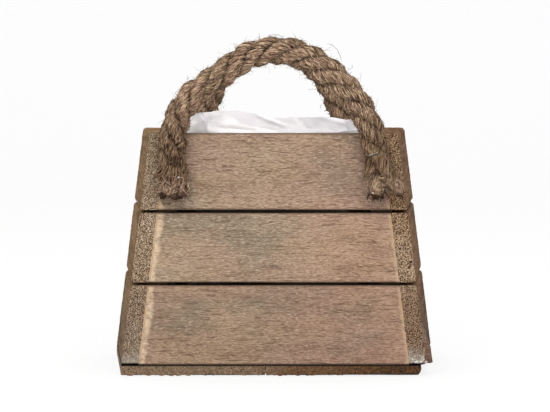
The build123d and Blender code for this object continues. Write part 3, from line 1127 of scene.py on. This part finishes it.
def make_strands(name, course):
    """Three strands laid round each other, each of spun yarns, whose cut ends come loose."""
    rng = random.Random(course.seed + 100)
    around = yarns * yarn_steps
    glints = []
    for side in (-1, 1):
        lower = min((crown for crown in course.crowns if side * crown.x > 0), key=lambda crown: crown.z)
        glints.append(lower - Vector((side * glint_inwards, 0, 0)))
    places, faces, corners = [], [], []
    lengths = [travelled for _, _, _, travelled in course.frames]
    for strand in range(strands):
        rings = []
        for step in range(len(course.frames)):
            tip = min(1.0, min(step, course.last - step) / taper_rings)
            rounding = math.sqrt(1 - (1 - tip) ** 2 * taper_share)
            surface = [strand_place(course, step, strand, j / around) for j in range(around)]
            rings.append([
                pinched(center + out * size * rounding, course.crowns, course.facing)
                for center, out, size in surface
            ])
        add_yarns(places, faces, corners, rings, lengths, strand_radius)
    for end in (0, course.last):
        for strand in range(strands):
            count = unlaid_stubs[strand] if course.unlaid(end) else stubs_in_strand
            for stub in range(count):
                turn = (stub + rng.uniform(-0.3, 0.3)) / count
                rings, stub_lengths = stub_rings(rng, course, end, strand, turn, glints)
                add_yarns(places, faces, corners, rings, stub_lengths, stub_radius)
    off_the_board(places, course.facing)
    obj = mesh_object(name, places, faces)
    layer = obj.data.uv_layers.new(name="yarns")
    for loop, corner in zip(layer.data, corners):
        loop.uv = corner
    obj.data.shade_smooth()
    in_strand = len(course.frames) * around + 2
    bulge = [1.0] * len(places)
    for index in range(strands * in_strand):
        middle = course.frames[min(index % in_strand // around, course.last)][0]
        bulge[index] = (places[index] - middle).length / (rope_diameter / 2)
    carry(obj, "bulge", bulge)
    return obj


def mark_tips(obj, frames):
    """How near each place is to one of the rope's two cut ends, from 0 to 1."""
    ends = (frames[0][0], frames[-1][0])
    near = []
    for vertex in obj.data.vertices:
        above = [vertex.co.z - end.z for end in ends if (vertex.co - end).length < tip_reach]
        near.append(max(0.0, 1 - min(above, default=tip_length) / tip_length))
    carry(obj, "tip", near)


def add_fibre(hairs, path, thickness, shade):
    """One closed three-sided hair along a path, thinning to a point at both ends, in its own shade."""
    places, faces, shades = hairs
    rings = []
    for i in range(1, len(path) - 1):
        ahead = ahead_at(path, i)
        rings.append(ring_round(path[i], ahead, ahead.orthogonal().normalized(), thickness / 2, 3))
    add_tube(places, faces, rings, [path[0], path[-1]])
    shades += [shade] * (len(places) - len(shades))


def curled(rng, start, ahead, lift, length):
    """The path of a hair that leaves along the yarn, lifts off it and curls."""
    path, heading = [start], (ahead + lift).normalized()
    for _ in range(hair_steps):
        path.append(path[-1] + heading * length / hair_steps)
        heading = (heading + hair_bend * any_way(rng)).normalized()
    return path


# Stray hairs that stand off the front rope's arch, as sideways and height from the middle of the base
stray_hairs = [
    [(0.0306, 0.1995), (0.0341, 0.1989), (0.0377, 0.1957), (0.0395, 0.1915), (0.0407, 0.1861)],
    [(0.0431, 0.1840), (0.0452, 0.1843), (0.0465, 0.1850), (0.0466, 0.1861), (0.0462, 0.1871)],
    [(-0.0039, 0.2034), (-0.0019, 0.2044), (0.0005, 0.2046), (0.0029, 0.2045), (0.0050, 0.2034)],
    [(-0.0560, 0.1680), (-0.0575, 0.1692), (-0.0582, 0.1700), (-0.0576, 0.1712), (-0.0565, 0.1717)],
    [(0.0290, 0.1640), (0.0279, 0.1628), (0.0275, 0.1618), (0.0281, 0.1612), (0.0287, 0.1614)],
]


def make_fuzz(course, strays):
    """Loose hairs over the whole rope, and longer frayed ones at its two cut ends."""
    rng = random.Random(course.seed)
    hairs = ([], [], [])
    for _ in range(fuzz_count):
        step = rng.randrange(2, course.last - 2)
        strand, turn = rng.randrange(strands), rng.random()
        center, out, size = strand_place(course, step, strand, turn)
        after, out_after, size_after = strand_place(course, step + 1, strand, turn)
        root = pinched(center + out * size * fuzz_depth, course.crowns, course.facing)
        ahead = (after + out_after * size_after - center - out * size).normalized() * rng.choice((-1, 1))
        hair = rng.uniform(*(short_hairs if rng.random() < short_share else long_hairs))
        aside = ahead.cross(out) * rng.uniform(-0.7, 0.7)
        path = curled(rng, root, ahead, aside + out * rng.uniform(0.1, 0.8), hair)
        add_fibre(hairs, path, fuzz_thickness * rng.uniform(0.7, 1.3), rng.random())
    for end in (0, course.last):
        away = (course.frames[end][0] - course.frames[course.step_from(end, 4)][0]).normalized()
        for _ in range(fray_count):
            step = course.step_from(end, rng.randrange(0, fray_frames))
            strand, turn = rng.randrange(strands), rng.random()
            center, out, size = strand_place(course, step, strand, turn)
            root = center + out * size * rng.uniform(0.6, 1.3)
            lift = out * rng.uniform(0.1, 0.9) + Vector((0, course.facing * rng.uniform(0.0, 0.7), 0))
            path = curled(rng, root, away * rng.uniform(0.1, 1.0), lift, rng.uniform(*frayed_hairs))
            add_fibre(hairs, path, fray_thickness * rng.uniform(0.7, 1.4), rng.random())
    for stray in strays:
        path = [Vector((x, course.facing * (rope_line + stray_distance), z)) for x, z in stray]
        add_fibre(hairs, path, stray_thickness, stray_shade)
    return hairs


def make_laid_fibres(course):
    """Coarse fibres that lie along the strands, some sunk among the yarns and some bridging them."""
    rng = random.Random(course.seed + 50)
    hairs = ([], [], [])
    for _ in range(laid_count):
        first = rng.randrange(1, course.last - laid_steps)
        strand, turn = rng.randrange(strands), rng.random()
        slant = rng.uniform(-laid_slant, laid_slant)
        sunk, bow = rng.uniform(*laid_depth), rng.uniform(0.0, laid_bow)
        path = []
        for step in range(laid_steps):
            center, out, size = strand_place(course, first + step, strand, turn + slant * step)
            lifted = size + sunk + bow * math.sin(math.pi * step / (laid_steps - 1))
            path.append(pinched(center + out * lifted, course.crowns, course.facing))
        add_fibre(hairs, path, laid_thickness * rng.uniform(0.6, 1.4), rng.random())
    leftmost = min(course.crowns, key=lambda crown: crown.x)
    lowest = min(course.crowns, key=lambda crown: crown.z)
    for number in range(2 * cover_count):
        covered, inner_end = ((leftmost, -cover_half_width), (lowest, -cover_shown))[number % 2]
        aside, slant = rng.uniform(inner_end, cover_half_width), rng.uniform(-0.25, 0.25)
        path = []
        for step in range(cover_steps):
            share = 2 * step / (cover_steps - 1) - 1
            bowed = cover_height * (1 - share * share) + rng.uniform(-cover_unevenness, cover_unevenness)
            place = (aside + slant * cover_length * share, course.facing * bowed, cover_length * share)
            path.append(covered + Vector(place))
        add_fibre(hairs, path, laid_thickness * rng.uniform(0.8, 1.5), rng.random())
    return hairs


def hairs_object(name, hairs, facing):
    """A piece of hairs, kept in front of the board, that carries each hair's shade."""
    places, faces, shades = hairs
    off_the_board(places, facing)
    obj = mesh_object(name, places, faces)
    carry(obj, "shade", shades)
    return obj


def weathered(tree, where, patches, color):
    """Darker legs, and straw where the sun has bleached the untwisted right end of the front rope."""
    legs = worked(tree, "MULTIPLY_ADD", patches, 0.02, numbers_of(tree, where)["Z"])
    color = layered(tree, color, (legs, 0.178, 0.148, 0.88, (200, 192, 181), "MULTIPLY"))
    away = vectors(tree, "SUBTRACT", where, bleached_place)
    away = vectors(tree, "LENGTH", vectors(tree, "MULTIPLY", away, (1.2, 0.5, 0.85)))
    patchy = worked(tree, "MULTIPLY_ADD", cloudy(tree, where, 400), 0.005, away)
    streaks = cloudy(tree, where, (1300, 1300, 420), 2.0, 0.6, shift=8.2)
    streaks = between(tree, streaks, 0.40, 0.58, 0.15, 1.0)
    share = product(tree, between(tree, patchy, 0.0095, 0.0065, 0.0, 0.8), streaks)
    return mixed(tree, share, color, linear(206, 180, 144))


def rope_material():
    """Spun jute: brown fibres along each yarn, paler where they catch the light, and painted shade in the
    lay, where the surface sinks between the strands.
    """
    material, tree, shader = new_material("jute_rope")
    yarn_place = add_node(tree, "ShaderNodeUVMap", uv_map="yarns").outputs[0]
    fibres = cloudy(tree, yarn_place, (2100, 170, 1), 2.0, 0.6)
    tangles = cloudy(tree, yarn_place, (900, 330, 1), 2.0, 0.7, shift=5.0)
    where = object_place(tree)
    patches = cloudy(tree, where, 75, 3.0)
    faded = cloudy(tree, where, 130, 3.0, shift=6.6)
    spots = cloudy(tree, where, 600, 2.0, 0.6, shift=2.0)
    # sunk: painted shade in the grooves, where the surface lies nearer the rope's middle
    sunk = worked(tree, "MULTIPLY_ADD", spots, 0.25, attribute(tree, "bulge"))
    sunk = worked(tree, "MULTIPLY_ADD", faded, 0.30, sunk)
    color = layered(
        tree, linear(148, 114, 94),
        (patches, 0.35, 0.65, 1.0, (118, 90, 72)),
        (faded, 0.5, 0.62, 0.7, (136, 115, 84)),
        (fibres, 0.51, 0.62, 0.95, (204, 178, 148)),
        (fibres, 0.49, 0.38, 0.95, (44, 28, 19)),
        (tangles, 0.56, 0.68, 0.6, (54, 36, 24)),
        (spots, 0.60, 0.72, 0.5, (182, 156, 128)),
        (sunk, 1.10, 0.90, 0.8, (30, 19, 12)),
    )
    color = weathered(tree, where, patches, color)
    tip = attribute(tree, "tip")
    # straw: a painted highlight on the upper part of each frayed end
    straw = product(tree, between(tree, tip, 0.1, 0.35), between(tree, spots, 0.42, 0.6, 0.15, 0.6))
    color = mixed(tree, straw, color, linear(192, 163, 140))
    # Painted shade on the undersides of the frayed ends, darkest at the cut
    color = layered(tree, color, (tip, 0.60, 0.95, 1.0, (112, 90, 78), "MULTIPLY"))
    normal = bumped(tree, worked(tree, "MULTIPLY_ADD", tangles, 0.6, fibres), 0.8, 0.0006)
    roughness = between(tree, fibres, 0.3, 0.7, 0.95, 0.75)
    set_inputs(tree, shader, {"Base Color": color, "Roughness": roughness, "Normal": normal})
    shader.inputs["Specular IOR Level"].default_value = 0.2
    return material


def fibre_material():
    """Single jute hairs, straw to brown."""
    material, tree, shader = new_material("jute_fibres")
    where = object_place(tree)
    each = attribute(tree, "shade")
    patches = cloudy(tree, where, 75, 3.0)
    color = layered(
        tree, linear(50, 34, 23),
        (each, 0.18, 0.55, 1.0, (138, 112, 90)),
        (each, 0.68, 0.95, 1.0, (206, 182, 152)),
        (patches, 0.35, 0.65, 0.5, (214, 208, 204), "MULTIPLY"),
    )
    color = weathered(tree, where, patches, color)
    # Painted shade on the hairs at the undersides of the frayed ends
    color = layered(tree, color, (attribute(tree, "tip"), 0.58, 0.95, 1.0, (150, 126, 110), "MULTIPLY"))
    tree.links.new(color, shader.inputs["Base Color"])
    shader.inputs["Roughness"].default_value = 0.8
    shader.inputs["Specular IOR Level"].default_value = 0.2
    return material


rope_finish = rope_material()
fibre_finish = fibre_material()
for side, facing, route, start, seed in (
    ("front", -1, front_rope_route, 0.4, 11),
    ("back", 1, back_rope_route, 1.7, 29),
):
    course = Course(side, facing, route, start, seed)
    rope = make_strands(f"{side}_rope", course)
    fuzz = make_fuzz(course, stray_hairs if side == "front" else [])
    fuzz = hairs_object(f"{side}_rope_fuzz", fuzz, facing)
    laid = hairs_object(f"{side}_rope_fibres", make_laid_fibres(course), facing)
    for piece, finish in ((rope, rope_finish), (fuzz, fibre_finish), (laid, fibre_finish)):
        mark_tips(piece, course.frames)
        piece.data.materials.append(finish)
        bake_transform(piece)
    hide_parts(f"{side}_rope_arch", f"{side}_rope_left_end", f"{side}_rope_right_end")

# Staples and nails
# Drawn steel wire staples and brads, dull from handling, driven in by a gun.

glint_band = 0.001


def steel_material(name, bright, dark, glint_below=0.0):
    """Drawn wire with a skin of tarnish, and a painted glint on the staples low on the ropes."""
    material, tree, shader = new_material(name)
    where = object_place(tree)
    up = numbers_of(tree, where)["Z"]
    tarnish = cloudy(tree, where, 1500)
    color = layered(
        tree, linear(*bright),
        (tarnish, 0.4, 0.65, 1.0, dark),
        # A near-white painted glint on the staples below this height
        (up, glint_below + glint_band, glint_below, 1.0, (222, 214, 206)),
    )
    roughness = between(tree, tarnish, 0.3, 0.7, 0.35, 0.6)
    set_inputs(tree, shader, {"Base Color": color, "Roughness": roughness})
    shader.inputs["Metallic"].default_value = 1.0
    return material


staple_steel = steel_material("staple_steel", (158, 146, 132), (62, 50, 40), glint_below=0.122)
nail_steel = steel_material("nail_steel", (168, 146, 124), (120, 98, 78))
wire_nodes = {node: staple_steel for node in ("front_rope_staples", "back_rope_staples", "liner_staples")}
wire_nodes.update({f"{side}_nails": nail_steel for side in ("front", "back", "left", "right", "base")})
for node, steel in wire_nodes.items():
    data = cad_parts[node].data
    data.materials.clear()
    data.materials.append(steel)

# Floor, light and camera
# A plain pale floor and backdrop, soft light from above, and the view of the photograph.

floor_half_width = 4.0
backdrop_distance = 2.6
backdrop_height = 3.0
cove_radius = 0.8
cove_steps = 12
floor_glow = 0.82
camera_place = (0.0008, -1.637, 0.2005)
camera_tilt = math.radians(3.55)

bpy.ops.object.select_all(action="DESELECT")
floor_middle = (0, backdrop_distance - floor_half_width, 0)
bpy.ops.mesh.primitive_plane_add(size=2 * floor_half_width, location=floor_middle)
floor = bpy.context.active_object
floor.name = "floor"
bpy.ops.object.mode_set(mode="EDIT")
bpy.ops.mesh.select_all(action="DESELECT")
bpy.ops.object.mode_set(mode="OBJECT")
for edge in floor.data.edges:
    edge.select = all(floor.data.vertices[v].co.y > 0 for v in edge.vertices)
for vertex in floor.data.vertices:
    vertex.select = vertex.co.y > 0
bpy.ops.object.mode_set(mode="EDIT")
bpy.ops.mesh.extrude_region_move(TRANSFORM_OT_translate={"value": (0, 0, backdrop_height)})
bpy.ops.mesh.select_all(action="DESELECT")
bpy.ops.object.mode_set(mode="OBJECT")
for edge in floor.data.edges:
    ends = [floor.data.vertices[v].co for v in edge.vertices]
    edge.select = all(end.y > 0 and end.z < 0.01 for end in ends)
bpy.ops.object.mode_set(mode="EDIT")
bpy.ops.mesh.bevel(offset=cove_radius, segments=cove_steps)
bpy.ops.object.mode_set(mode="OBJECT")
bpy.ops.object.shade_smooth()
floor_finish, tree, shader = new_material("studio_white")
shader.inputs["Base Color"].default_value = linear(236, 236, 236)
shader.inputs["Roughness"].default_value = 0.9
shader.inputs["Specular IOR Level"].default_value = 0.1
seen = add_node(tree, "ShaderNodeLightPath").outputs
shown = worked(tree, "MAXIMUM", seen["Is Camera Ray"], seen["Is Glossy Ray"])
white = add_node(tree, "ShaderNodeEmission", {"Color": (1, 1, 1, 1), "Strength": 1.0})
blended = add_node(tree, "ShaderNodeMixShader", {0: product(tree, shown, floor_glow)})
tree.links.new(shader.outputs[0], blended.inputs[1])
tree.links.new(white.outputs[0], blended.inputs[2])
output = next(node for node in tree.nodes if node.type == "OUTPUT_MATERIAL")
tree.links.new(blended.outputs[0], output.inputs["Surface"])
floor.data.materials.append(floor_finish)

world_light = 0.80
lamps = [
    ("key", (-0.7, -2.3, 1.7), 1.2, 31),
    ("fill", (0.8, -2.2, 1.4), 1.2, 20),
    ("top", (0, 0.3, 2.2), 1.4, 11),
]
world = bpy.data.worlds.new("studio")
world.use_nodes = True
world.node_tree.nodes["Background"].inputs["Color"].default_value = (1, 1, 1, 1)
world.node_tree.nodes["Background"].inputs["Strength"].default_value = world_light
bpy.context.scene.world = world
for name, place, size, power in lamps:
    lamp_data = bpy.data.lights.new(name, "AREA")
    lamp_data.size = size
    lamp_data.energy = power
    lamp = bpy.data.objects.new(name, lamp_data)
    lamp.location = place
    lamp.rotation_euler = (Vector((0, 0, 0.08)) - Vector(place)).to_track_quat("-Z", "Y").to_euler()
    bpy.context.collection.objects.link(lamp)

camera_data = bpy.data.cameras.new("camera")
camera_data.lens = 173.4
camera_data.sensor_width = 36
camera_data.clip_start = 0.05
camera_data.clip_end = 20
camera = bpy.data.objects.new("camera", camera_data)
camera.location = camera_place
camera.rotation_euler = (math.radians(90) - camera_tilt, 0, 0)
bpy.context.collection.objects.link(camera)
bpy.context.scene.camera = camera
bpy.context.scene.view_settings.view_transform = "Standard"
